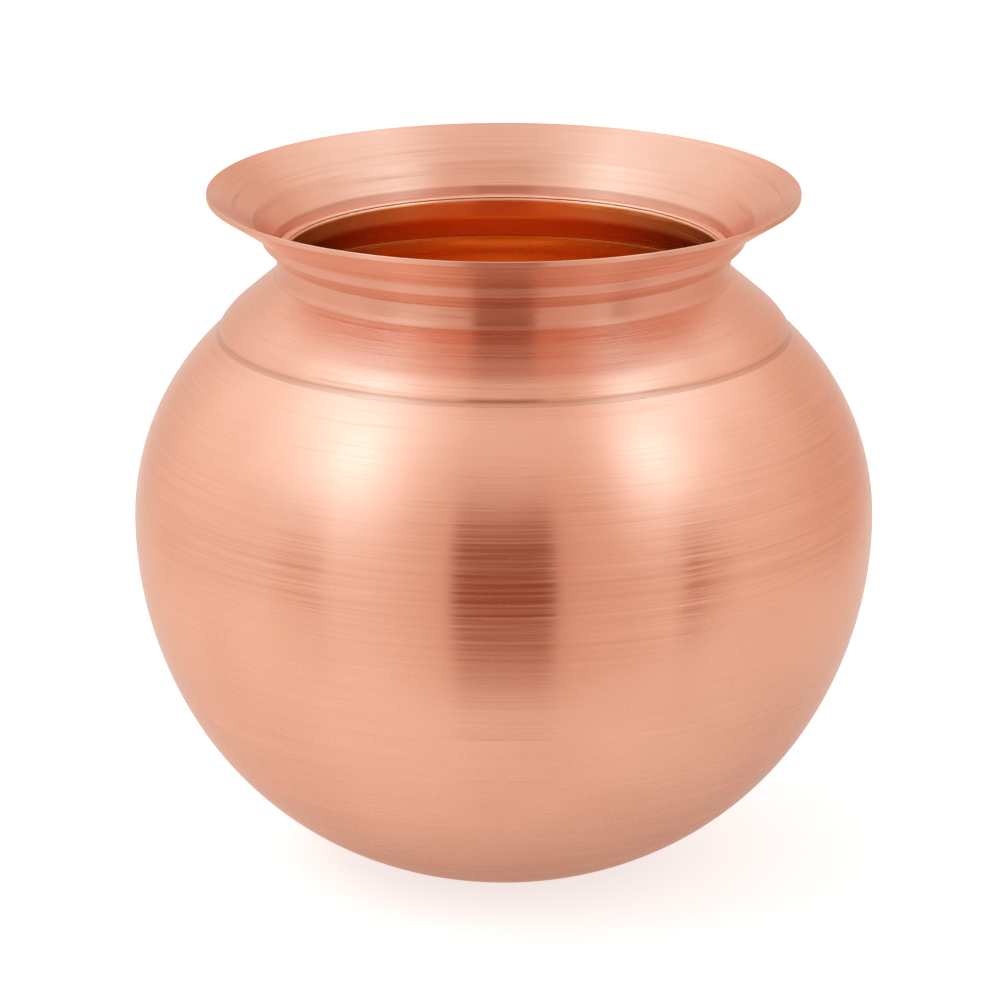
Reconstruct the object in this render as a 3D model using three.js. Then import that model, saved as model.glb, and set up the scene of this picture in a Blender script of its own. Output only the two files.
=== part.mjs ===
import * as THREE from "three";

// Copper water pot: three spun shells on one axis, joined by two brazed laps.
// Millimetres, +Z up, heights measured from the flat base.

// Driving dimensions of the whole pot
const HEIGHT = 139;
const SHEET = 1;
const LAP_GAP = 0.05;
const SEAT_GAP = 0.1;

// Mouth collar: flare, ridge and short upright neck
const MOUTH_RADIUS = 59.7;
const FLARE_SLOPE = degrees(33);
const FLARE_FOOT_RADIUS = 49.15;
const RIDGE_RADIUS = 48.65;
const RIDGE_BOTTOM = 128.9;
const NECK_RADIUS = 45.9;
const NECK_TOP = 126.1;
const NECK_FOOT = 121.8;
const TOE_REACH = 0.6;
const TOE_RISE = 0.8;

// Shoulder: stub inside the neck, cone, and rolled lower edge
const STUB_TOP = 126.4;
const CONE_SLOPE = degrees(40.6);
const CONE_END_RADIUS = 54.2;
const ROLL_RADIUS = 12;
const ROLL_END = degrees(19);
const ROLL_STEPS = 5;

// Bowl: flat base, bottom arc, side arc up to the widest ring, upper arc on to the crease
const BODY_RADIUS = 75;
const WIDEST_HEIGHT = 71.3;
const UPPER_RADIUS = 51.8;
const UPPER_STEPS = 9;
const SIDE_RADIUS = 78.4;
const SIDE_BOTTOM = degrees(-31.5);
const SIDE_STEPS = 6;
const BOTTOM_RADIUS = 69.8;
const BOTTOM_STEPS = 8;
const CREASE_RADIUS = 58.05;
const LIP_START = degrees(15.5);
const LIP_END = degrees(36);
const LIP_STEPS = 4;
const LIP_HEEL = degrees(11);
const LIP_KNEE = degrees(2);

// Braze left in the two joints
const BRAZE_GAP = 0.07;
const NECK_BRAZE_RISE = 0.5;
const NECK_BRAZE_REACH = 0.3;
const CREASE_FILLET = 6;
const CREASE_STEPS = 4;

// Facets round the axis, shared by every piece so that they nest
const FACETS = 72;

function degrees(angle) {
  return THREE.MathUtils.degToRad(angle);
}

function point(radius, height) {
  return new THREE.Vector2(radius, height);
}

function pointOnCircle(centre, radius, angle) {
  return point(centre.x + radius * Math.cos(angle), centre.y + radius * Math.sin(angle));
}

// Points along a circle, both ends included.
function arc(centre, radius, from, to, steps) {
  const points = [];
  for (let i = 0; i <= steps; i++) {
    points.push(pointOnCircle(centre, radius, from + ((to - from) * i) / steps));
  }
  return points;
}

// The other face of a sheet: a line moved to its left, mitred at each bend.
function otherFace(line, thickness) {
  return line.map((corner, i) => {
    const into = corner.clone().sub(line[Math.max(i - 1, 0)]).normalize();
    const outOf = line[Math.min(i + 1, line.length - 1)].clone().sub(corner).normalize();
    const before = i === 0 ? outOf : into;
    const after = i === line.length - 1 ? into : outOf;
    const mitre = before.clone().add(after).normalize();
    const reach = thickness / mitre.dot(after);
    return point(corner.x - mitre.y * reach, corner.y + mitre.x * reach);
  });
}

// A spun piece: its outline turned about the pot's axis, the outside running upwards.
function spun(name, outline, material) {
  const mesh = new THREE.Mesh(new THREE.LatheGeometry(outline, FACETS), material);
  mesh.name = name;
  mesh.rotation.x = Math.PI / 2;
  return mesh;
}

function brushedCopper(color) {
  return new THREE.MeshStandardMaterial({ color, roughness: 0.32, metalness: 1 });
}

function brazeMetal(color) {
  return new THREE.MeshStandardMaterial({ color, roughness: 0.5, metalness: 1 });
}

// Height of the shoulder's cone at a radius.
function coneHeight(radius) {
  return NECK_FOOT - (radius - NECK_RADIUS) * Math.tan(CONE_SLOPE);
}

// Direction from one point to another.
function bearing(from, to) {
  return to.clone().sub(from).angle();
}

// Centre of a fillet that touches two round faces from outside.
function filletCentre(lower, lowerRadius, upper, upperRadius) {
  const apart = lower.distanceTo(upper);
  const toLower = lowerRadius + CREASE_FILLET;
  const toUpper = upperRadius + CREASE_FILLET;
  const along = (apart ** 2 + toLower ** 2 - toUpper ** 2) / (2 * apart);
  return pointOnCircle(lower, toLower, bearing(lower, upper) - Math.acos(along / toLower));
}

const coneEnd = point(CONE_END_RADIUS, coneHeight(CONE_END_RADIUS));
const rollStart = Math.PI / 2 - CONE_SLOPE;
const rollCentre = pointOnCircle(coneEnd, -ROLL_RADIUS, rollStart);
const upperCentre = point(BODY_RADIUS - UPPER_RADIUS, WIDEST_HEIGHT);
const sideCentre = point(BODY_RADIUS - SIDE_RADIUS, WIDEST_HEIGHT);
const bottomCentre = pointOnCircle(sideCentre, SIDE_RADIUS - BOTTOM_RADIUS, SIDE_BOTTOM);
const upperEnd = Math.acos((CREASE_RADIUS - upperCentre.x) / UPPER_RADIUS);

// The collar's foot is bevelled to sit on the shoulder's cone, and spreads there in a small
// toe. Its sheet keeps one thickness through the ridge, and its top is cut upright.
function collar() {
  const rimEdge = SHEET / Math.cos(FLARE_SLOPE);
  const flareRise = (MOUTH_RADIUS - FLARE_FOOT_RADIUS) * Math.tan(FLARE_SLOPE);
  const outside = [
    point(NECK_RADIUS, coneHeight(NECK_RADIUS) + TOE_RISE),
    point(NECK_RADIUS, NECK_TOP),
    point(RIDGE_RADIUS, RIDGE_BOTTOM),
    point(FLARE_FOOT_RADIUS, HEIGHT - rimEdge - flareRise),
    point(MOUTH_RADIUS, HEIGHT - rimEdge),
  ];
  const inside = otherFace(outside, SHEET);
  inside[0].y = coneHeight(inside[0].x) + SEAT_GAP;
  inside[inside.length - 1].set(MOUTH_RADIUS, HEIGHT);
  const toeRadius = NECK_RADIUS + TOE_REACH;
  const toe = point(toeRadius, coneHeight(toeRadius) + SEAT_GAP);
  return spun("collar", [toe, ...outside, ...inside.reverse(), toe], brushedCopper(0xeaa987));
}

// The shoulder rises from its rolled edge to a stub that stands inside the collar's neck.
function shoulder() {
  const stubRadius = NECK_RADIUS - SHEET - LAP_GAP;
  const outside = [
    ...arc(rollCentre, ROLL_RADIUS, ROLL_END, rollStart, ROLL_STEPS),
    point(stubRadius, coneHeight(stubRadius)),
    point(stubRadius, STUB_TOP),
  ];
  const inside = otherFace(outside, SHEET);
  return spun("shoulder", [...outside, ...inside.reverse(), outside[0]], brushedCopper(0xe8a483));
}

// The bowl's wall bends in under the shoulder's edge and ends in a lip that follows the roll.
function bowl() {
  const flatEdge = -Math.asin(bottomCentre.y / BOTTOM_RADIUS);
  const wall = [
    point(0, 0),
    ...arc(bottomCentre, BOTTOM_RADIUS, flatEdge, SIDE_BOTTOM, BOTTOM_STEPS),
    ...arc(sideCentre, SIDE_RADIUS, SIDE_BOTTOM, 0, SIDE_STEPS).slice(1),
    ...arc(upperCentre, UPPER_RADIUS, 0, upperEnd, UPPER_STEPS).slice(1),
  ];
  const lipRadius = ROLL_RADIUS - SHEET - SEAT_GAP;
  const lipOutside = arc(rollCentre, lipRadius, LIP_START, LIP_END, LIP_STEPS);
  const lipInside = arc(rollCentre, lipRadius - SHEET, LIP_END, LIP_HEEL, LIP_STEPS);
  const inside = otherFace(wall, SHEET);
  inside[0].x = 0;
  inside[inside.length - 1] = pointOnCircle(upperCentre, UPPER_RADIUS - SHEET, upperEnd - LIP_KNEE);
  const outline = [...wall, ...lipOutside, ...lipInside, ...inside.reverse()];
  return spun("bowl", outline, brushedCopper(0xe59f7e));
}

// Bead of braze on the stub's top edge, lying against the collar's ledge.
function neckBraze() {
  const inner = NECK_RADIUS - 2 * SHEET;
  const outer = NECK_RADIUS - SHEET - LAP_GAP;
  const seat = STUB_TOP + BRAZE_GAP;
  const ledgeSlope = (RIDGE_BOTTOM - NECK_TOP) / (RIDGE_RADIUS - NECK_RADIUS);
  const outline = [
    point(inner, seat),
    point(outer, seat),
    point(outer + NECK_BRAZE_REACH, seat + BRAZE_GAP + NECK_BRAZE_REACH * ledgeSlope),
    point(outer, seat + NECK_BRAZE_RISE),
    point(inner, seat + NECK_BRAZE_RISE / 2),
  ];
  return spun("neck_braze", [...outline, outline[0]], brazeMetal(0xf0bc9c));
}

// Fillet of braze in the crease: it fills the gap under the rolled edge and sweeps from the
// bowl up to the roll in a hollow curve.
function creaseBraze() {
  const bowlFace = UPPER_RADIUS + BRAZE_GAP;
  const rollFace = ROLL_RADIUS + BRAZE_GAP;
  const centre = filletCentre(upperCentre, bowlFace, rollCentre, rollFace);
  const onBowl = bearing(upperCentre, centre);
  const onRoll = bearing(rollCentre, centre);
  const outline = [
    ...arc(upperCentre, bowlFace, upperEnd, onBowl, 1),
    ...arc(centre, CREASE_FILLET, onBowl + Math.PI, onRoll + Math.PI, CREASE_STEPS).slice(1),
    ...arc(rollCentre, rollFace, onRoll, ROLL_END, 2).slice(1),
  ];
  return spun("crease_braze", [...outline, outline[0]], brazeMetal(0xefb797));
}

const pot = new THREE.Group();
pot.add(bowl(), creaseBraze(), shoulder(), neckBraze(), collar());

export default pot;
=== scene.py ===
import math

import bpy
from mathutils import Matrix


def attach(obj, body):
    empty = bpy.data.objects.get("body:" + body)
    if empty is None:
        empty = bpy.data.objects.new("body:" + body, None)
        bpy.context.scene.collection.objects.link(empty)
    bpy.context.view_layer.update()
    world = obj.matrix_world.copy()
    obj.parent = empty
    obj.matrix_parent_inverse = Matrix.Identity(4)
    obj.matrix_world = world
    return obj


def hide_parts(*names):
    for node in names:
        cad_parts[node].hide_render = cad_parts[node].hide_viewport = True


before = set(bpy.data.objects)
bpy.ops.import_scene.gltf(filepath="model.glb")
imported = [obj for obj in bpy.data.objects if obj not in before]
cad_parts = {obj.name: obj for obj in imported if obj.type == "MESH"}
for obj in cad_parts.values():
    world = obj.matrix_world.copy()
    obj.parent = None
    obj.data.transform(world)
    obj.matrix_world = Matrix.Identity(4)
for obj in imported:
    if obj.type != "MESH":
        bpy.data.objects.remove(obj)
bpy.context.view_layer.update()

# Bowl
# One disc of copper sheet, spun over a former into a round belly with a small flat base.
# Its edge is bent in and turned up into a lip that lies under the shoulder and thins out
# there. The lathe leaves fine lines all round it.

MM = 0.001
SHEET = 1.0
BODY_RADIUS = 75.0
WIDEST_HEIGHT = 71.3
UPPER_RADIUS = 51.8
SIDE_RADIUS = 78.4
SIDE_BOTTOM = -31.5
BOTTOM_RADIUS = 69.8
BASE_BEND = 3.0
CREASE_RADIUS = 57.93
CONE_SLOPE = 40.6
CONE_END_RADIUS = 54.2
ROLL_RADIUS = 12.0
NECK_RADIUS = 45.9
NECK_FOOT = 121.8
LIP_START = 15.5
LIP_HEEL = 11.0
LIP_GAP = 0.1
LAP = 4.7
LIP_EDGE = 0.15
OUT_OF_ROUND = 0.05
BESIDE = 0.04  # share of the way to the next point
FACETS = 288


def on_circle(centre, radius, angle):
    turn = math.radians(angle)
    return centre[0] + radius * math.cos(turn), centre[1] + radius * math.sin(turn)


def arc(centre, radius, start, end, steps):
    return [on_circle(centre, radius, start + (end - start) * i / steps) for i in range(steps + 1)]


def unit(a, b):
    length = math.hypot(b[0] - a[0], b[1] - a[1])
    return (b[0] - a[0]) / length, (b[1] - a[1]) / length


def other_face(line, thickness):
    """The far side of a sheet: a line moved to its left, mitred at each bend."""
    moved = []
    for i, corner in enumerate(line):
        before = unit(line[i - 1], corner) if i else unit(corner, line[1])
        after = unit(corner, line[i + 1]) if i + 1 < len(line) else before
        mid = unit((0, 0), (before[0] + after[0], before[1] + after[1]))
        reach = thickness / (mid[0] * after[0] + mid[1] * after[1])
        moved.append((corner[0] - mid[1] * reach, corner[1] + mid[0] * reach))
    return moved


def softened(corners, closed=True):
    """Rounds each corner (radius, height, bend) of an outline and keeps the flats beside it flat."""
    points = []
    for i, (r, z, *bend) in enumerate(corners):
        inside = closed or 0 < i < len(corners) - 1
        if not bend or not inside:
            points.append((r, z))
            continue
        here, last, following = (r, z), corners[i - 1][:2], corners[(i + 1) % len(corners)][:2]
        a, b = unit(here, last), unit(here, following)
        half = math.acos(max(-1, min(1, a[0] * b[0] + a[1] * b[1]))) / 2
        back = bend[0] / math.tan(half)
        aim = unit((0, 0), (a[0] + b[0], a[1] + b[1]))
        centre = r + aim[0] * bend[0] / math.sin(half), z + aim[1] * bend[0] / math.sin(half)
        start, end = (r + a[0] * back, z + a[1] * back), (r + b[0] * back, z + b[1] * back)
        first = math.atan2(start[1] - centre[1], start[0] - centre[0])
        swing = math.atan2(end[1] - centre[1], end[0] - centre[0]) - first
        swing = (swing + math.pi) % (2 * math.pi) - math.pi
        steps = max(2, round(abs(swing) / math.radians(10)))
        flat = bend[0] / 5
        points.append((start[0] + a[0] * flat, start[1] + a[1] * flat))
        for k in range(steps + 1):
            points.append(on_circle(centre, bend[0], math.degrees(first + swing * k / steps)))
        points.append((end[0] + b[0] * flat, end[1] + b[1] * flat))
    return points


def true_ended(line):
    """Adds a point right beside each end of a line, so that smooth shading is true up to the end."""
    (r, z), (r_next, z_next), (r_last, z_last), (r_end, z_end) = *line[:2], *line[-2:]
    beside_start = (r + (r_next - r) * BESIDE, z + (z_next - z) * BESIDE)
    beside_end = (r_end + (r_last - r_end) * BESIDE, z_end + (z_last - z_end) * BESIDE)
    return [line[0], beside_start, *line[1:-1], beside_end, line[-1]]


def wired(tree, kind, settings=None, **inputs):
    """Adds a node and fills or links its inputs, by name or by number written as in_0."""
    node = tree.nodes.new(kind)
    for label, value in (settings or {}).items():
        setattr(node, label, value)
    for label, value in inputs.items():
        if label.startswith("in_"):
            socket = node.inputs[int(label[3:])]
        else:
            socket = node.inputs[label.replace("_", " ")]
        if isinstance(value, bpy.types.NodeSocket):
            tree.links.new(value, socket)
        else:
            socket.default_value = value
    return node


# The lathe, as Geometry Nodes: an outline in the XZ plane is swept round the axis. The sheet is
# drawn in unevenly by a hair, and beads of braze are made lumpy by the same inputs.
lathe = bpy.data.node_groups.new("lathe", "GeometryNodeTree")
lathe.is_modifier = True
lathe_inputs = {}
for label, kind, value in [
    ("Outline", "NodeSocketGeometry", None),
    ("Facets", "NodeSocketInt", FACETS),
    ("Unevenness", "NodeSocketFloat", 0.0),
    ("Lumps", "NodeSocketFloat", 1.0),
    ("Seed", "NodeSocketFloat", 0.0),
    ("Metal", "NodeSocketMaterial", None),
]:
    socket = lathe.interface.new_socket(name=label, in_out="INPUT", socket_type=kind)
    if value is not None:
        socket.default_value = value
    lathe_inputs[label] = socket.identifier
lathe.interface.new_socket(name="Piece", in_out="OUTPUT", socket_type="NodeSocketGeometry")

VECTOR_POINTS = {"data_type": "FLOAT_VECTOR", "domain": "POINT"}
given = wired(lathe, "NodeGroupInput").outputs
position = wired(lathe, "GeometryNodeInputPosition").outputs[0]
outline = wired(lathe, "GeometryNodeMeshToCurve", Mesh=given["Outline"]).outputs["Curve"]
kept = wired(lathe, "GeometryNodeStoreNamedAttribute", VECTOR_POINTS,
             Geometry=outline, Name="section", Value=position)
ring = wired(lathe, "GeometryNodeCurvePrimitiveCircle", Resolution=given["Facets"], Radius=1.0)
aimed = wired(lathe, "GeometryNodeStoreNamedAttribute", VECTOR_POINTS,
              Geometry=ring.outputs["Curve"], Name="direction", Value=position)
swept = wired(lathe, "GeometryNodeCurveToMesh",
              Curve=aimed.outputs[0], Profile_Curve=kept.outputs[0])
AS_VECTOR = {"data_type": "FLOAT_VECTOR"}
section = wired(lathe, "GeometryNodeInputNamedAttribute", AS_VECTOR, Name="section")
direction = wired(lathe, "GeometryNodeInputNamedAttribute", AS_VECTOR, Name="direction")
cut = wired(lathe, "ShaderNodeSeparateXYZ", Vector=section.outputs["Attribute"])
stretched = wired(lathe, "ShaderNodeVectorMath", {"operation": "ADD"},
                  in_0=direction.outputs["Attribute"], in_1=section.outputs["Attribute"])
lumps = wired(lathe, "ShaderNodeTexNoise", {"noise_dimensions": "4D"},
              Vector=stretched.outputs[0], W=given["Seed"], Scale=given["Lumps"], Detail=3.0)
drawn = wired(lathe, "ShaderNodeMath", {"operation": "MULTIPLY"},
              in_0=lumps.outputs[0], in_1=given["Unevenness"])
reach = wired(lathe, "ShaderNodeMath", {"operation": "SUBTRACT"},
              in_0=cut.outputs["X"], in_1=drawn.outputs[0])
reach = wired(lathe, "ShaderNodeMath", {"operation": "MAXIMUM"}, in_0=reach.outputs[0], in_1=0.0)
outward = wired(lathe, "ShaderNodeVectorMath", {"operation": "SCALE"},
                in_0=direction.outputs["Attribute"], Scale=reach.outputs[0])
height = wired(lathe, "ShaderNodeCombineXYZ", Z=cut.outputs["Z"])
place = wired(lathe, "ShaderNodeVectorMath", {"operation": "ADD"},
              in_0=outward.outputs[0], in_1=height.outputs[0])
turned = wired(lathe, "GeometryNodeSetPosition", Geometry=swept.outputs[0], Position=place.outputs[0])
sealed = wired(lathe, "GeometryNodeMergeByDistance", Geometry=turned.outputs[0], Distance=1e-6)
outwards = wired(lathe, "GeometryNodeFlipFaces", Mesh=sealed.outputs[0])
smooth = wired(lathe, "GeometryNodeSetShadeSmooth", Geometry=outwards.outputs[0])
real = wired(lathe, "GeometryNodeRealizeInstances", Geometry=smooth.outputs[0])
finished = wired(lathe, "GeometryNodeSetMaterial",
                 Geometry=real.outputs[0], Material=given["Metal"])
wired(lathe, "NodeGroupOutput", Piece=finished.outputs[0])


def spun(name, node, points, metal, closed=True, unevenness=OUT_OF_ROUND, lumps=1.3, seed=3.0):
    """Sweeps an outline in millimetres round the axis and lets the piece stand for its solid."""
    mesh = bpy.data.meshes.new(name)
    edges = [(i, i + 1) for i in range(len(points) - 1)] + [(len(points) - 1, 0)] * closed
    mesh.from_pydata([(r * MM, 0, z * MM) for r, z in points], edges, [])
    piece = bpy.data.objects.new(name, mesh)
    bpy.context.scene.collection.objects.link(piece)
    turning = piece.modifiers.new("lathe", "NODES")
    turning.node_group = lathe
    for label, value in [("Facets", FACETS), ("Unevenness", unevenness * MM), ("Lumps", lumps),
                         ("Seed", seed), ("Metal", metal)]:
        turning[lathe_inputs[label]] = value
    evaluated = piece.evaluated_get(bpy.context.evaluated_depsgraph_get())
    whole = bpy.data.meshes.new_from_object(evaluated)
    piece.modifiers.remove(turning)
    piece.data = whole
    whole.name = name
    for attribute in ("section", "direction"):
        if attribute in whole.attributes:
            whole.attributes.remove(whole.attributes[attribute])
    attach(piece, "root")
    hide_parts(node)
    return piece


# Lathe lines, as a shader group. The pattern is read from how far a point is from the axis, how
# high it is and which way it faces, so each line runs on round the pot. Height is in millimetres.
# Inside is one on the walls within the pot, where the lines are faint and the painted bounce colour goes.
FINE_HEIGHT = 0.007
GROOVE_DEPTH = 0.006
PIT_DEPTH = 0.03
PIT_RARITY = 0.46  # the higher, the fewer cells have a pit
DEEP_FROM = 126.3
DEEP_BELOW = 125.6
INSIDE_LINES = 0.08  # what is left of the lines inside
MIDDLE = 0.5  # of a noise, which runs from nothing to one
lines = bpy.data.node_groups.new("lathe_lines", "ShaderNodeTree")
for label, value in [
    ("Fine spacing", 0.00042),
    ("Groove spacing", 0.0010),
    ("Ripple spacing", 0.004),
    ("Ripple height", 0.02),
    ("Seed", 0.0),
    ("Pits", 0.5),
]:
    socket = lines.interface.new_socket(name=label, in_out="INPUT", socket_type="NodeSocketFloat")
    socket.default_value = value
for label in ("Fine", "Groove", "Cloud", "Pit", "Height", "Inside"):
    lines.interface.new_socket(name=label, in_out="OUTPUT", socket_type="NodeSocketFloat")
given = wired(lines, "NodeGroupInput").outputs
coordinates = wired(lines, "ShaderNodeTexCoord").outputs
where = coordinates["Object"]
spot = wired(lines, "ShaderNodeSeparateXYZ", Vector=where).outputs
flat = wired(lines, "ShaderNodeCombineXYZ", X=spot["X"], Y=spot["Y"])
from_axis = wired(lines, "ShaderNodeVectorMath", {"operation": "LENGTH"}, in_0=flat.outputs[0])
from_axis = from_axis.outputs["Value"]
facing = wired(lines, "ShaderNodeVectorMath", {"operation": "NORMALIZE"}, in_0=flat.outputs[0]).outputs[0]
turned_out = wired(lines, "ShaderNodeVectorMath", {"operation": "DOT_PRODUCT"},
                   in_0=coordinates["Normal"], in_1=facing).outputs["Value"]
facing = wired(lines, "ShaderNodeSeparateXYZ", Vector=facing).outputs


def scaled(tree, value, by, plus=0.0):
    """One value times another, plus a third."""
    return wired(tree, "ShaderNodeMath", {"operation": "MULTIPLY_ADD"},
                 in_0=value, in_1=by, in_2=plus).outputs[0]


def maths(tree, operation, a, b):
    return wired(tree, "ShaderNodeMath", {"operation": operation}, in_0=a, in_1=b).outputs[0]


def eased(tree, value, low, high, start=0.0, end=1.0):
    return wired(tree, "ShaderNodeMapRange", {"interpolation_type": "SMOOTHSTEP"}, Value=value,
                 From_Min=low, From_Max=high, To_Min=start, To_Max=end).outputs[0]


def around(spacing, breaks, seed):
    """Noise drawn out round the axis: lines this far apart, with so many breaks to a radian."""
    count = maths(lines, "DIVIDE", 1.0, spacing)
    vector = wired(lines, "ShaderNodeCombineXYZ", X=scaled(lines, facing["X"], breaks),
                   Y=scaled(lines, facing["Y"], breaks), Z=scaled(lines, spot["Z"], count))
    shifted = scaled(lines, given["Seed"], 1.0, seed + 1.0)
    depth = scaled(lines, from_axis, count, shifted)
    return wired(lines, "ShaderNodeTexNoise", {"noise_dimensions": "4D"}, Vector=vector.outputs[0],
                 W=depth, Scale=1.0, Detail=1.0, Roughness=0.6).outputs[0]


fine = around(given["Fine spacing"], breaks=1.6, seed=0.0)
scored = around(given["Groove spacing"], breaks=1.0, seed=17.0)
ripple = around(given["Ripple spacing"], breaks=0.5, seed=31.0)
dashed = around(given["Groove spacing"], breaks=9.0, seed=43.0)
groove = scaled(lines, eased(lines, scored, 0.58, 0.68), eased(lines, dashed, 0.35, 0.60, 0.15, 1.0))
cloud = wired(lines, "ShaderNodeTexNoise", Vector=where, Scale=34.0, Detail=3.0).outputs[0]
speck = wired(lines, "ShaderNodeTexVoronoi", Vector=where, Scale=150.0)
lone = wired(lines, "ShaderNodeSeparateColor", Color=speck.outputs["Color"]).outputs[0]
chosen = maths(lines, "GREATER_THAN", scaled(lines, lone, given["Pits"]), PIT_RARITY)
pit = scaled(lines, eased(lines, speck.outputs["Distance"], 0.015, 0.04, 1.0, 0.0), chosen)
rise = scaled(lines, fine, FINE_HEIGHT)
rise = scaled(lines, groove, -GROOVE_DEPTH, rise)
rise = scaled(lines, pit, -PIT_DEPTH, rise)
rise = scaled(lines, ripple, given["Ripple height"], rise)
turned_in = eased(lines, turned_out, -0.02, -0.12)
inside = scaled(lines, turned_in, eased(lines, spot["Z"], DEEP_FROM * MM, DEEP_BELOW * MM))
calm = eased(lines, inside, 0.0, 1.0, 1.0, INSIDE_LINES)
fine = scaled(lines, scaled(lines, fine, 1.0, -MIDDLE), calm, MIDDLE)
wired(lines, "NodeGroupOutput", Fine=fine, Groove=groove, Cloud=cloud, Pit=pit,
      Height=scaled(lines, rise, calm), Inside=inside)

# The inside colours are stronger than copper's own. They stand in for light thrown from wall to wall.
COPPER = (0.94, 0.49, 0.34)
PAINTED_BOUNCE_COPPER = (1.0, 0.42, 0.10)
PAINTED_BOUNCE_NECK = (1.0, 0.31, 0.07)
TARNISH = (0.80, 0.37, 0.24)
EDGE_TINT = (0.86, 0.80, 0.76)
PLAIN_TONE = 0.88
LINE_TONE = 0.24
GROOVE_TONE = 0.06
PIT_TONE = -0.40
MOST_STAIN = 0.30
LINE_GRAIN = 0.30
GROOVE_GRAIN = 0.10


def worked_copper(name, seed, shade=1.0, roughness=0.26, anisotropy=0.90, pits=0.5, ripples=0.02,
                  inside=PAINTED_BOUNCE_COPPER):
    """Copper worked on the lathe: lines round the axis, a few pits and a sheen drawn out by them."""
    metal = bpy.data.materials.new(name)
    metal.use_nodes = True
    tree = metal.node_tree
    tree.nodes.clear()
    marks = wired(tree, "ShaderNodeGroup", {"node_tree": lines},
                  Seed=seed, Pits=pits, Ripple_height=ripples).outputs
    # A shade below one darkens the whole colour; on the crease braze this is painted shade.
    tone = scaled(tree, marks["Fine"], LINE_TONE * shade, PLAIN_TONE * shade)
    tone = scaled(tree, marks["Groove"], GROOVE_TONE, tone)
    tone = scaled(tree, marks["Pit"], PIT_TONE, tone)
    stain = eased(tree, marks["Cloud"], 0.40, 0.75, 0.0, MOST_STAIN)
    skin = wired(tree, "ShaderNodeMix", {"data_type": "RGBA"},
                 in_0=stain, in_6=(*COPPER, 1), in_7=(*TARNISH, 1))
    # Painted light: where Inside is one, the walls within the pot take a redder colour that stands in for
    # light thrown from wall to wall.
    skin = wired(tree, "ShaderNodeMix", {"data_type": "RGBA"},
                 in_0=marks["Inside"], in_6=skin.outputs[2], in_7=(*inside, 1))
    colour = wired(tree, "ShaderNodeVectorMath", {"operation": "SCALE"}, in_0=skin.outputs[2], Scale=tone)
    grain = scaled(tree, marks["Fine"], LINE_GRAIN, roughness - LINE_GRAIN * MIDDLE)
    grain = scaled(tree, marks["Groove"], GROOVE_GRAIN, grain)
    bump = wired(tree, "ShaderNodeBump", Strength=1.0, Distance=MM, Height=marks["Height"])
    tangent = wired(tree, "ShaderNodeTangent", {"direction_type": "RADIAL", "axis": "Z"})
    surface = wired(tree, "ShaderNodeBsdfPrincipled", Base_Color=colour.outputs[0], Metallic=1.0,
                    Roughness=grain, Anisotropic=anisotropy, Anisotropic_Rotation=0.25,
                    Specular_Tint=(*EDGE_TINT, 1), Normal=bump.outputs[0], Tangent=tangent.outputs[0])
    wired(tree, "ShaderNodeOutputMaterial", Surface=surface.outputs[0])
    return metal


def cone_height(radius):
    """Height of the shoulder's cone at a radius."""
    return NECK_FOOT - (radius - NECK_RADIUS) * math.tan(math.radians(CONE_SLOPE))


def uphill(point):
    """The same point moved up the slope of the shoulder's cone by the length of the lap."""
    slope = math.radians(CONE_SLOPE)
    return point[0] - LAP * math.cos(slope), point[1] + LAP * math.sin(slope)


upper_centre = (BODY_RADIUS - UPPER_RADIUS, WIDEST_HEIGHT)
side_centre = (BODY_RADIUS - SIDE_RADIUS, WIDEST_HEIGHT)
bottom_centre = on_circle(side_centre, SIDE_RADIUS - BOTTOM_RADIUS, SIDE_BOTTOM)
cone_normal = 90 - CONE_SLOPE
roll_centre = on_circle((CONE_END_RADIUS, cone_height(CONE_END_RADIUS)), -ROLL_RADIUS, cone_normal)
flat_edge = -math.degrees(math.asin(bottom_centre[1] / BOTTOM_RADIUS))
upper_end = math.degrees(math.acos((CREASE_RADIUS - upper_centre[0]) / UPPER_RADIUS))
underside = arc(bottom_centre, BOTTOM_RADIUS, flat_edge, SIDE_BOTTOM, steps=34)
wall = softened([(0, 0), (*underside[0], BASE_BEND), underside[1]], closed=False) + underside[2:]
wall += arc(side_centre, SIDE_RADIUS, SIDE_BOTTOM, 0, steps=22)[1:]
wall += arc(upper_centre, UPPER_RADIUS, 0, upper_end, steps=34)[1:]
inner_wall = other_face(wall, SHEET)[:-1]
inner_wall[0] = (0, SHEET)
lip_radius = ROLL_RADIUS - SHEET - LIP_GAP
lip = arc(roll_centre, lip_radius, LIP_START, cone_normal, steps=10)
lip += [uphill(lip[-1]), uphill(on_circle(roll_centre, lip_radius - LIP_EDGE, cone_normal))]
lip += arc(roll_centre, lip_radius - SHEET, cone_normal, LIP_HEEL, steps=10)
bowl_copper = worked_copper("spun_bowl_copper", seed=1.0)
bowl = spun("spun_bowl", "bowl", true_ended(wall) + lip + inner_wall[::-1], bowl_copper, closed=False)

# Shoulder
# A second disc of the same sheet, spun into a short cone. Its lower edge is rolled down over
# the bowl's lip, and its upper edge stands up as a stub inside the neck.

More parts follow.
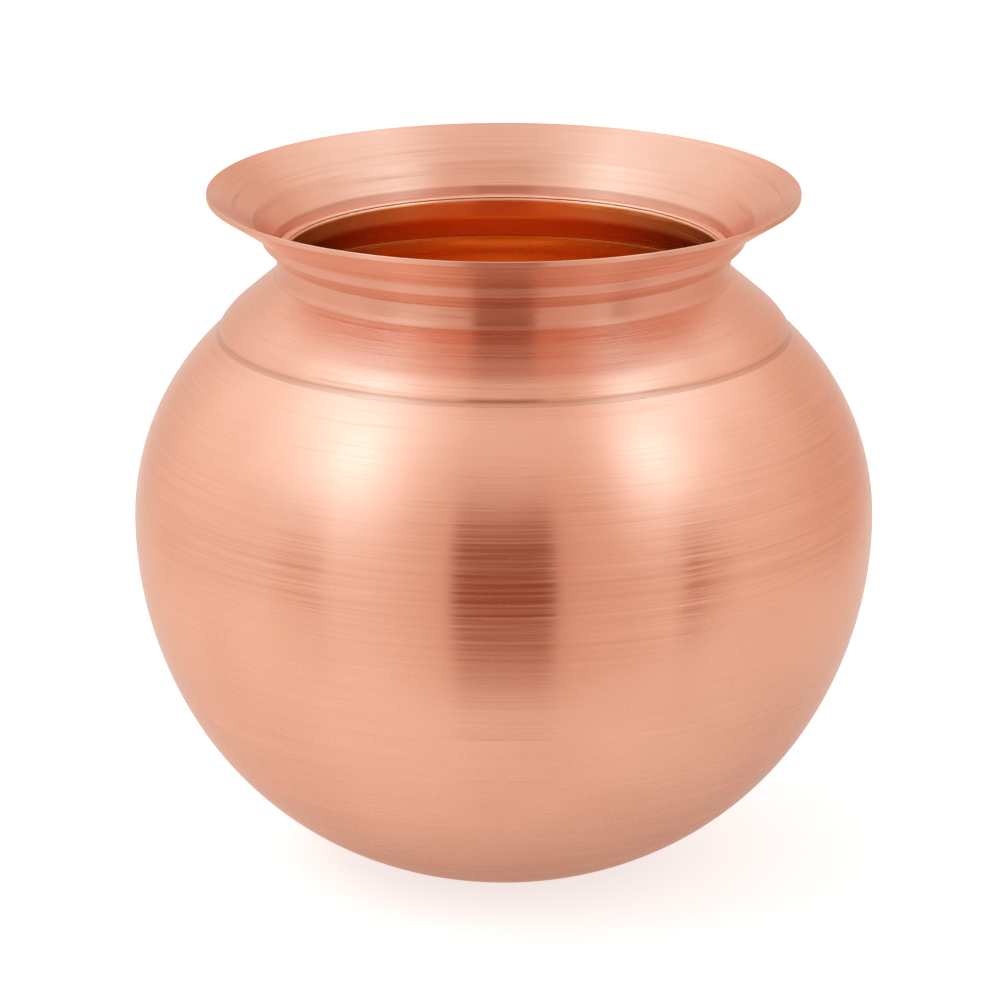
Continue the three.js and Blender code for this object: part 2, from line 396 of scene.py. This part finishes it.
STUB_TOP = 126.4
SWEEP_START = 54.0
SWEEP_RADIUS = 18.0
SWEEP_END = 34.0
ARRIS_RADIUS = 2.0
ARRIS_END = 8.0
ROLL_END = 19.0
STUB_GAP = 0.05
STUB_DROP = 0.46  # how much lower the stub's inner wall starts than its outer one
stub_radius = NECK_RADIUS - SHEET - STUB_GAP
stub_inner = stub_radius - SHEET
sweep_centre = on_circle((SWEEP_START, cone_height(SWEEP_START)), -SWEEP_RADIUS, cone_normal)
arris_centre = on_circle(sweep_centre, SWEEP_RADIUS - ARRIS_RADIUS, SWEEP_END)
outside = arc(arris_centre, ARRIS_RADIUS, ARRIS_END, SWEEP_END, steps=8)
outside += arc(sweep_centre, SWEEP_RADIUS, SWEEP_END, cone_normal, steps=10)[1:]
stub = [(stub_radius, cone_height(stub_radius), 0.4), (stub_radius, STUB_TOP, 0.2),
        (stub_inner, STUB_TOP, 0.7), (stub_inner, cone_height(stub_radius) - STUB_DROP, 1.5)]
inside = arc(roll_centre, ROLL_RADIUS - SHEET, ROLL_END, cone_normal, steps=12)[::-1]
# Painted light: the inside of the neck takes a redder colour that stands in for light thrown from wall to
# wall.
shoulder_copper = worked_copper("spun_shoulder_copper", seed=5.0, roughness=0.26, anisotropy=1.0,
                                inside=PAINTED_BOUNCE_NECK)
shoulder = spun("spun_shoulder", "shoulder", softened(outside + stub + inside), shoulder_copper)

# Braze in the crease
# A hollow fillet of copper-coloured braze where the rolled edge meets the bowl, dressed back
# with a cloth until it runs into both and only fine lines and small marks are left.

CREASE_FILLET = 2.6
BRAZE_GAP = 0.02
FEATHER = 3.0


def span(a, b):
    """Distance and bearing from one point to another."""
    return math.hypot(b[0] - a[0], b[1] - a[1]), math.degrees(math.atan2(b[1] - a[1], b[0] - a[0]))


bowl_face, arris_face = UPPER_RADIUS + BRAZE_GAP, ARRIS_RADIUS + BRAZE_GAP
to_bowl, to_arris = bowl_face + CREASE_FILLET, arris_face + CREASE_FILLET
apart, bearing = span(upper_centre, arris_centre)
swing = math.degrees(math.acos((apart ** 2 + to_bowl ** 2 - to_arris ** 2) / (2 * apart * to_bowl)))
hollow = on_circle(upper_centre, to_bowl, bearing - swing)
on_bowl, on_arris = span(upper_centre, hollow)[1], span(arris_centre, hollow)[1]
dressed = arc(hollow, CREASE_FILLET, on_bowl + 180 - FEATHER, on_arris + 180 + FEATHER, steps=14)
crease = arc(upper_centre, bowl_face, upper_end, span(upper_centre, dressed[0])[1], steps=3)
crease += true_ended(dressed)
crease += arc(arris_centre, arris_face, span(arris_centre, dressed[-1])[1], ARRIS_END, steps=3)
# Painted shade: the braze's colour is darkened to four fifths, so the crease shows as a darker band.
shaded_crease_metal = worked_copper("crease_braze_copper", seed=9.0, shade=0.80, pits=0.8)
crease_fillet = spun("crease_fillet", "crease_braze", crease, shaded_crease_metal)

# Collar
# The mouth: a third piece of sheet, spun into a wide flare over a narrow ridge and a short
# upright neck. Its rim is cut square, and its foot spreads in a small toe on the shoulder.

HEIGHT = 139.0
MOUTH_RADIUS = 59.7
FLARE_SLOPE = 33.0
FLARE_FOOT_RADIUS = 49.15
RIDGE_RADIUS = 48.65
RIDGE_BOTTOM = 128.9
NECK_TOP = 126.1
TOE_BEND = 2.2
WAIST = 0.3
LINE_RADIUS = 50.4
SHELF = (48.75, 131.15)
LEDGE = (47.3, 129.6)
LEDGE_FOOT = (46.35, 128.6)
SEAM = (45.8, 126.7)
UNDERCUT_FOOT = 126.3
SEAT_GAP = 0.05
rim_edge = SHEET / math.cos(math.radians(FLARE_SLOPE))


def flare_height(radius):
    """Height of the flare's outer face at a radius."""
    return HEIGHT - rim_edge - (MOUTH_RADIUS - radius) * math.tan(math.radians(FLARE_SLOPE))


neck_inner = NECK_RADIUS - SHEET
neck_foot = NECK_RADIUS - WAIST
toe_seat = cone_height(neck_foot + TOE_BEND) + SEAT_GAP
toe_centre = (neck_foot + TOE_BEND, toe_seat + TOE_BEND / math.cos(math.radians(CONE_SLOPE)))
toe = true_ended(arc(toe_centre, TOE_BEND, cone_normal + 180 - 2 * FEATHER, 180, steps=8))
collar_corners = [
    *toe, (NECK_RADIUS, NECK_TOP, 0.4), (RIDGE_RADIUS, RIDGE_BOTTOM, 0.35),
    (FLARE_FOOT_RADIUS, flare_height(FLARE_FOOT_RADIUS), 1.2), (MOUTH_RADIUS, HEIGHT - rim_edge, 0.15),
    (MOUTH_RADIUS, HEIGHT, 0.18), (LINE_RADIUS, flare_height(LINE_RADIUS) + rim_edge, 0.8),
    (*SHELF, 0.5), (*LEDGE, 0.35), (*LEDGE_FOOT, 1.0), (*SEAM, 0.2), (neck_inner, UNDERCUT_FOOT),
    (neck_inner, cone_height(neck_inner) + 2 * SEAT_GAP, 0.1),
    (toe[0][0], cone_height(toe[0][0]) + SEAT_GAP)]
collar_copper = worked_copper("spun_collar_copper", seed=12.0, roughness=0.33, anisotropy=1.0,
                              ripples=0.04)
collar = spun("spun_collar", "collar", softened(collar_corners), collar_copper)

# Braze in the neck
# The uneven bead left on the stub's top edge, seen inside the mouth as a jagged light line.

bead = [(44.35, 126.43), (45.5, 126.43), (45.95, 126.7), (45.8, 126.98), (44.7, 126.85)]
bead_metal = worked_copper("neck_braze_copper", seed=15.0, roughness=0.42, anisotropy=0.3)
neck_bead = spun("neck_bead", "neck_braze", softened([(*p, 0.08) for p in bead]), bead_metal,
                 unevenness=0.6, lumps=34.0, seed=2.0)

# Studio
# A white table in a light tent. A lamp outside each side wall makes a broad glow on the cloth
# with a hot middle; the slit in front for the camera stays dark, and so does a stand each side.

TABLE_SIDE = 0.24
TABLE_FRONT = -0.14
TABLE_BACK = 0.9
PAPER_GREY = 0.4
PAPER_GLOW = 0.41
GLOW_IN_CAMERA = 0.30
LAMP_WIDTH, LAMP_LENGTH = 0.7, 1.6
LAMP_SIDE, LAMP_BACK, LAMP_HEIGHT = 0.8, -0.1, 1.1
LAMP_TILT = 38.0

table = bpy.data.meshes.new("table")
table.from_pydata([(-TABLE_SIDE, TABLE_FRONT, 0), (TABLE_SIDE, TABLE_FRONT, 0), (TABLE_SIDE, TABLE_BACK, 0),
                   (-TABLE_SIDE, TABLE_BACK, 0)], [], [(0, 1, 2, 3)])
table_top = bpy.data.objects.new("table_top", table)
bpy.context.scene.collection.objects.link(table_top)
paper = bpy.data.materials.new("white_paper")
paper.use_nodes = True
tree = paper.node_tree
tree.nodes.clear()
path = wired(tree, "ShaderNodeLightPath").outputs
glow = scaled(tree, path["Is Camera Ray"], GLOW_IN_CAMERA, PAPER_GLOW)
matt = wired(tree, "ShaderNodeBsdfDiffuse", Color=(PAPER_GREY, PAPER_GREY, PAPER_GREY, 1))
lift = wired(tree, "ShaderNodeEmission", Color=(1, 0.98, 0.97, 1), Strength=glow)
both = wired(tree, "ShaderNodeAddShader", in_0=matt.outputs[0], in_1=lift.outputs[0])
wired(tree, "ShaderNodeOutputMaterial", Surface=both.outputs[0])
table.materials.append(paper)


def soft_lamp(name, side, power):
    """A soft box over one side of the tent. It lights the table, and the metal shows the tent."""
    lamp = bpy.data.lights.new(name, "AREA")
    lamp.shape = "RECTANGLE"
    lamp.size, lamp.size_y = LAMP_WIDTH, LAMP_LENGTH
    lamp.energy = power
    box = bpy.data.objects.new(name, lamp)
    bpy.context.scene.collection.objects.link(box)
    box.location = (LAMP_SIDE * side, LAMP_BACK, LAMP_HEIGHT)
    box.rotation_euler = (0, math.radians(LAMP_TILT * side), 0)
    box.visible_camera = box.visible_glossy = False


soft_lamp("left_lamp", side=-1, power=10.0)
soft_lamp("right_lamp", side=1, power=1.0)

ROOF_LIGHT = 0.86
world = bpy.data.worlds.new("light_tent")
bpy.context.scene.world = world
world.use_nodes = True
tent = world.node_tree
tent.nodes.clear()
path = wired(tent, "ShaderNodeLightPath").outputs
look = wired(tent, "ShaderNodeTexCoord").outputs["Generated"]
way = wired(tent, "ShaderNodeSeparateXYZ", Vector=look).outputs
to_front = scaled(tent, way["Y"], -1.0)
azimuth = scaled(tent, maths(tent, "ARCTAN2", way["X"], to_front), 180 / math.pi)
walls = wired(tent, "ShaderNodeValToRGB", Fac=scaled(tent, azimuth, 1 / 360, 0.5))
stops = walls.color_ramp.elements
for place, (angle, light) in enumerate([
    (-180, 1.00), (-135, 0.98), (-90, 0.88), (-50, 0.98), (-38, 0.90), (-20, 0.70),
    (20, 0.62), (35, 0.72), (50, 0.80), (85, 0.80), (130, 0.66), (180, 1.00),
]):
    stop = stops[place] if place < 1 else stops.new((angle + 180) / 360)
    stop.position = (angle + 180) / 360
    stop.color = (light, light, light, 1)
cloth = wired(tent, "ShaderNodeSeparateColor", Color=walls.outputs[0]).outputs[0]
roof = eased(tent, way["Z"], 0.5, 0.95)
cloth = wired(tent, "ShaderNodeMix", in_0=roof, in_2=cloth, in_3=ROOF_LIGHT).outputs[0]


def seen_from_pot(azimuth, elevation):
    """Direction from the pot, in degrees: how far to the right of the camera's side, and how high."""
    a, e = math.radians(azimuth), math.radians(elevation)
    return math.cos(e) * math.sin(a), -math.cos(e) * math.cos(a), math.sin(e)


def patch(azimuth, elevation, radius):
    """One in the middle of a round patch of the tent, easing to nothing at its edge."""
    near = wired(tent, "ShaderNodeVectorMath", {"operation": "DOT_PRODUCT"}, in_0=look,
                 in_1=seen_from_pot(azimuth, elevation)).outputs["Value"]
    return eased(tent, near, math.cos(math.radians(radius)), 1.0)


def height_of(elevation):
    return math.sin(math.radians(elevation))


# Glows on the cloth: azimuth, height and radius in degrees, and strength
left_glows = [(-105, 50, 58, 0.33), (-69, 45, 38, 0.45), (-66, 45, 20, 0.50), (-63, 45, 9, 0.60),
              (-98, 62, 24, 0.30), (-48, 26, 18, 0.28)]
right_glows = [(105, 50, 54, 0.25), (66, 41, 28, 0.42), (62, 42, 16, 0.80), (62, 43, 8, 0.30),
               (106, 60, 20, 0.40), (50, 24, 17, 0.18)]
front_glow = (0, 48, 24, 0.18)
rear_glows = [(-132, 56, 32, 0.36), (134, 56, 32, 0.50)]
for angle, elevation, radius, strength in [*left_glows, *right_glows, front_glow, *rear_glows]:
    cloth = scaled(tent, patch(angle, elevation, radius), strength, cloth)


def dimmed(cloth, shade, left):
    """Cloth behind something dark: shade is one where it hides the cloth, left is the light it keeps."""
    keep = eased(tent, shade, 0.0, 1.0, 1.0, left)
    return scaled(tent, cloth, keep)


def between(value, low, soft_low, high, soft_high):
    rise = eased(tent, value, low - soft_low, low + soft_low)
    fall = eased(tent, value, high - soft_high, high + soft_high, 1.0, 0.0)
    return scaled(tent, rise, fall)


# Dark things: left and right side with their softness in degrees, foot and top in degrees with
# their softness, and the light that is left
slit = ((-15.8, 1.2, 15.8, 1.2), (-32, 0.32, 30, 0.25), 0.13)
left_stand = ((-74, 9, -57, 1.0), (-30, 0.1, 14, 0.1), 0.76)
right_stand = ((56.5, 1.0, 72, 9), (-30, 0.1, 12, 0.15), 0.70)
right_pole = ((56.5, 1.0, 64, 4), (-30, 0.1, 10, 0.15), 0.60)
for sides, (foot, soft_foot, top, soft_top), left in [slit, left_stand, right_stand, right_pole]:
    upright = between(way["Z"], height_of(foot), soft_foot, height_of(top), soft_top)
    cloth = dimmed(cloth, scaled(tent, between(azimuth, *sides), upright), left)

# The metal sees the cloth tinted, redder where it is dim and paler where it is bright, to fit the
# photo. Other rays see plain white.
red = scaled(tent, maths(tent, "POWER", cloth, 0.5), 0.92)
green = scaled(tent, cloth, 0.87)
blue = scaled(tent, maths(tent, "POWER", cloth, 1.25), 0.86)
warmth = wired(tent, "ShaderNodeCombineColor", Red=red, Green=green, Blue=blue).outputs[0]
seen = maths(tent, "MAXIMUM", path["Is Glossy Ray"], path["Is Transmission Ray"])
shown = wired(tent, "ShaderNodeMix", {"data_type": "RGBA"}, in_0=seen, in_6=(1, 1, 1, 1), in_7=warmth)
light = wired(tent, "ShaderNodeBackground", Color=shown.outputs[2], Strength=1.0)
wired(tent, "ShaderNodeOutputWorld", Surface=light.outputs[0])

# Camera
# Stands in front of the pot and a little above it, and looks down on the shoulder.
LENS = 215.17
LOOKS_DOWN = 16.507
STANDS_AT = (-0.00076, -1.16674, 0.41959)
camera = bpy.data.cameras.new("camera")
camera.sensor_width = 36
camera.lens = LENS
camera.clip_end = 20
viewpoint = bpy.data.objects.new("camera", camera)
bpy.context.scene.collection.objects.link(viewpoint)
viewpoint.location = STANDS_AT
viewpoint.rotation_euler = (math.radians(90 - LOOKS_DOWN), 0, 0)
bpy.context.scene.camera = viewpoint
bpy.context.scene.view_settings.view_transform = "Standard"
